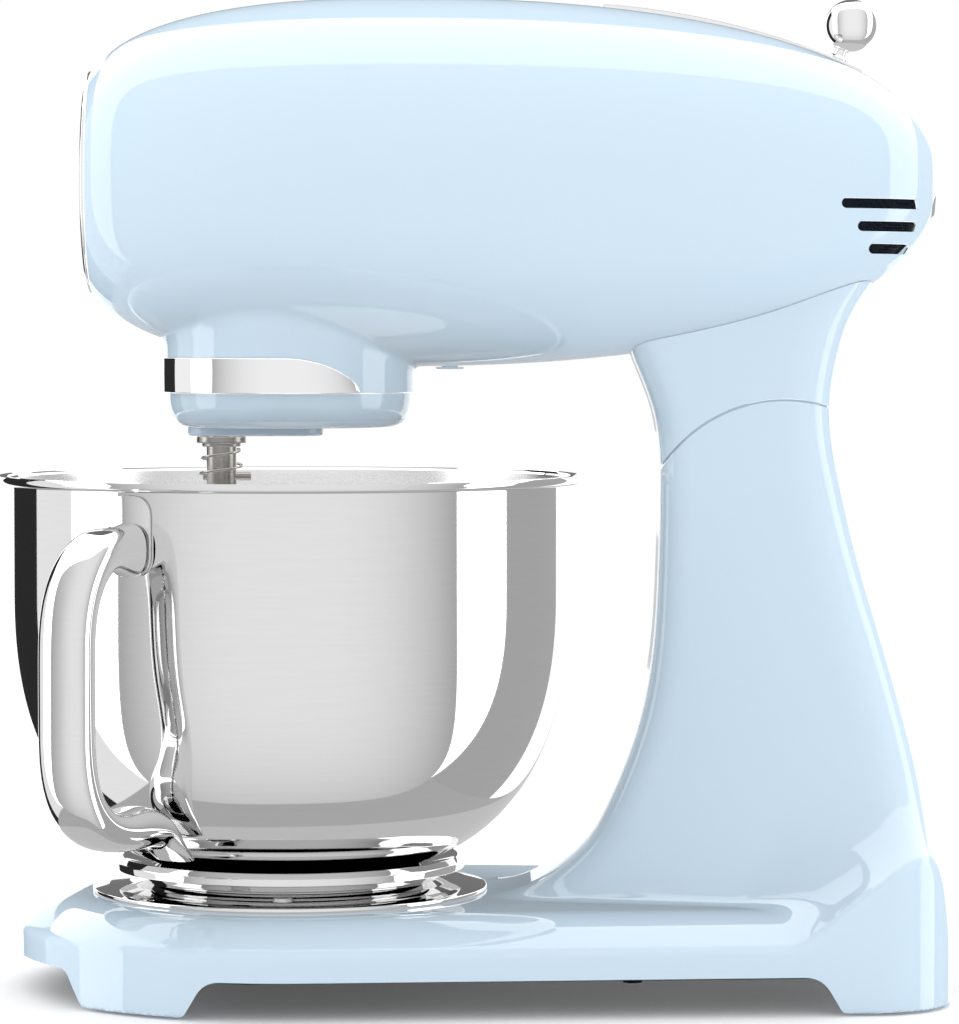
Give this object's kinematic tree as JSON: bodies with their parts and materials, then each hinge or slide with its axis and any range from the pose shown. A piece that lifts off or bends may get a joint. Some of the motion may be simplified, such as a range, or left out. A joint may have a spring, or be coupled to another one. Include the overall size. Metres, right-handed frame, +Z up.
{
  "type": "stand mixer",
  "caption": "Retro tilt-head stand mixer with torpedo-shaped head, polished steel bowl with handle, planetary hub, speed lever on a rail, and a broad base on rubber feet.",
  "frame": {"origin": "On the ground, under the centre of the bounding box", "axes": "+Z up; the bowl end faces -X and the rear of the base +X; the side in the picture faces -Y"},
  "size_m": [0.36, 0.2474, 0.3755],
  "materials": {
    "enamel": "pale blue gloss enamel on die-cast metal",
    "chrome": "bright chrome plating",
    "steel": "polished stainless steel",
    "machined": "machined steel",
    "cast": "bare die-cast metal",
    "winding": "lacquered windings and core",
    "rubber": "black rubber",
    "black": "black moulded plastic",
    "nylon": "natural nylon",
    "board": "circuit board"
  },
  "bodies": {
    "stand": {"base_column": "enamel", "base_cover": "black", "base_cover_screw_1": "machined", "base_cover_screw_2": "machined", "base_cover_screw_3": "machined", "foot_front_left": "rubber", "foot_front_right": "rubber", "foot_rear_left": "rubber", "foot_rear_right": "rubber", "bowl_lock_plate": "steel", "lock_plate_screw_1": "machined", "lock_plate_screw_2": "machined", "lock_plate_screw_3": "machined", "hinge_pin": "machined", "button_spring": "machined", "cable_gland": "rubber"},
    "head": {"head_shell": "enamel", "neck_shell": "enamel", "tilt_arm": "cast", "underside_plug": "nylon", "front_ring": "chrome", "accessory_hub": "cast", "rear_ring": "chrome", "rear_cap": "enamel", "vent_liner_left": "black", "vent_liner_right": "black", "collar_band": "chrome", "speed_rail": "chrome", "control_board": "board", "motor_cradle": "cast", "motor_housing": "cast", "motor_stator": "winding", "motor_end_plate": "cast", "motor_bearing_front": "machined", "gearbox_housing": "cast", "spindle_bearing": "machined", "ring_gear": "machined"},
    "motor": {"motor_rotor": "winding", "motor_pinion": "machined", "cooling_fan": "black"},
    "hub": {"crown_gear": "machined", "spindle": "machined", "hub_dish": "enamel"},
    "planet": {"planet_pinion": "machined", "beater_shaft": "steel", "beater_washer": "steel", "beater_spring": "steel", "cross_pin": "steel"},
    "outlet": {"outlet_pinion": "machined", "outlet_shaft": "steel"},
    "lever": {"lever_stem": "chrome", "lever_knob": "chrome", "slider_carriage": "nylon"},
    "cap": {"front_cap": "enamel"},
    "button": {"release_button": "chrome"},
    "pawl": {"latch_pawl": "machined"},
    "seat": {"bowl_seat_ring": "nylon"},
    "bowl": {"bowl": "steel", "bowl_foot_ring": "steel", "bowl_handle": "steel"}
  },
  "joints": [
    {"name": "head_tilt", "type": "hinge", "parent": "stand", "child": "head", "pos_m": [0.1188, 0.0125, 0.169], "axis": [0, 1, 0], "range_deg": [0, 45]},
    {"name": "bowl_twist", "type": "hinge", "parent": "stand", "child": "seat", "pos_m": [-0.0686, 0.0125, 0.0428], "axis": [0, 0, 1], "range_deg": [0, 30]},
    {"name": "bowl_lift", "type": "slide", "parent": "seat", "child": "bowl", "axis": [0, 0, 1], "range_m": [0, 0.032]},
    {"name": "hub_spin", "type": "hinge", "parent": "head", "child": "hub", "pos_m": [-0.0686, 0.0125, 0.25], "axis": [0, 0, 1], "continuous": true},
    {"name": "motor_spin", "type": "hinge", "parent": "head", "child": "motor", "pos_m": [0, 0.0125, 0.306], "axis": [1, 0, 0], "continuous": true},
    {"name": "outlet_spin", "type": "hinge", "parent": "head", "child": "outlet", "pos_m": [-0.12, 0.0125, 0.306], "axis": [1, 0, 0], "continuous": true},
    {"name": "planet_spin", "type": "hinge", "parent": "hub", "child": "planet", "pos_m": [-0.0946, 0.0125, 0.21], "axis": [0, 0, 1], "continuous": true},
    {"name": "speed_lever", "type": "hinge", "parent": "head", "child": "lever", "pos_m": [0.0312, 0.0125, 0.0854], "axis": [0, -1, 0], "range_deg": [0, 15.5]},
    {"name": "cap_pull", "type": "slide", "parent": "head", "child": "cap", "axis": [-1, 0, 0], "range_m": [0, 0.022]},
    {"name": "button_press", "type": "slide", "parent": "stand", "child": "button", "axis": [-1, 0, 0], "range_m": [0, 0.002], "stiffness_N_per_m": 700, "springref_m": -0.004, "deforming": ["button_spring"]},
    {"name": "latch_swing", "type": "hinge", "parent": "stand", "child": "pawl", "pos_m": [0.1385, 0.0125, 0.159], "axis": [0, 1, 0], "range_deg": [0, 10.7]}
  ],
  "couplings": [
    {"joint": "motor_spin", "follows": "hub_spin", "ratio": 3},
    {"joint": "outlet_spin", "follows": "hub_spin", "ratio": -3},
    {"joint": "planet_spin", "follows": "hub_spin", "ratio": -3},
    {"joint": "latch_swing", "follows": "button_press", "rad_per_m": 93}
  ]
}
